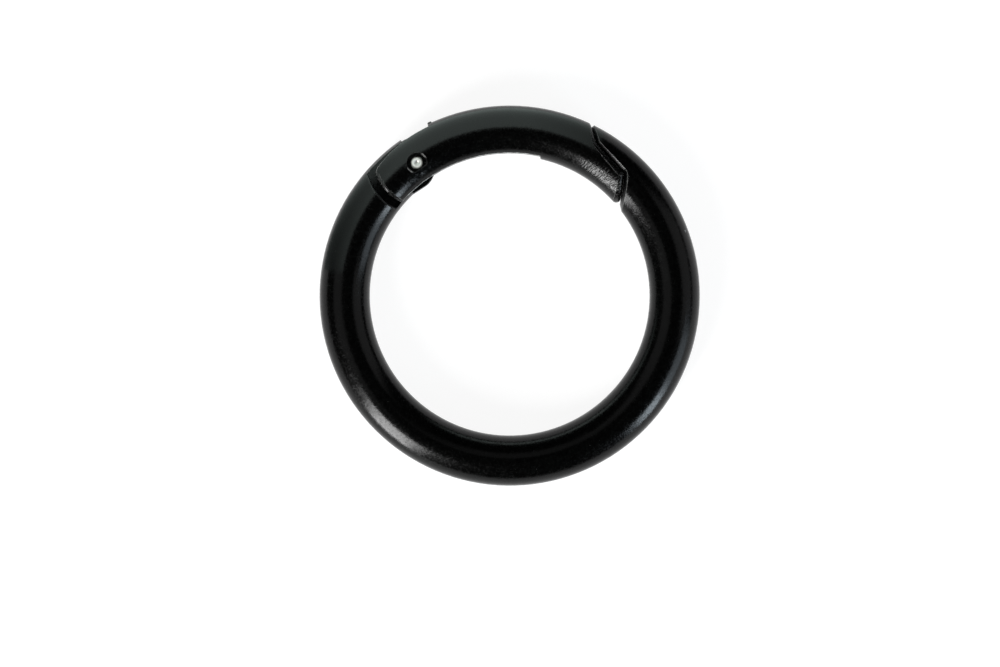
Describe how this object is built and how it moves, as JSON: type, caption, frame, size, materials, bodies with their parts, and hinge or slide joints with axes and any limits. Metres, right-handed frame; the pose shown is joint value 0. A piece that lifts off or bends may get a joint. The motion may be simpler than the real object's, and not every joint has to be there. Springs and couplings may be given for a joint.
{
  "type": "spring gate ring",
  "caption": "Round black ring with a sprung gate: the upper arc swings inwards on a steel pin and shuts under a stepped lip",
  "frame": {"origin": "centre of the ring, on its middle plane", "axes": "the ring lies in XY with its eye along Z; the gate is on the +Y side, its hinge at the upper left (-X) and its latch at the upper right (+X)"},
  "size_m": [0.034, 0.034, 0.0044],
  "materials": {
    "black_enamel": "satin black enamel over a zinc casting",
    "pin_steel": "bare steel, ends lightly peened",
    "plunger_steel": "turned steel",
    "spring_steel": "drawn spring wire"
  },
  "bodies": {
    "ring": {"ring_body": "black_enamel"},
    "gate": {"gate": "black_enamel", "pivot_pin": "pin_steel", "gate_spring": "spring_steel"},
    "plunger": {"spring_plunger": "plunger_steel"}
  },
  "joints": [
    {"name": "gate_hinge", "type": "hinge", "parent": "ring", "child": "gate", "pos_m": [-0.00829, 0.01184, 0], "axis": [0, 0, -1], "range_deg": [0, 45], "stiffness_Nm_per_rad": 0.0007, "springref_deg": -171.89},
    {"name": "plunger_slide", "type": "slide", "parent": "gate", "child": "plunger", "axis": [0.9744, 0.225, 0], "range_m": [0, 0.00046], "deforming": ["gate_spring"]}
  ],
  "couplings": [
    {"joint": "plunger_slide", "follows": "gate_hinge", "m_per_rad": 0.00058}
  ]
}
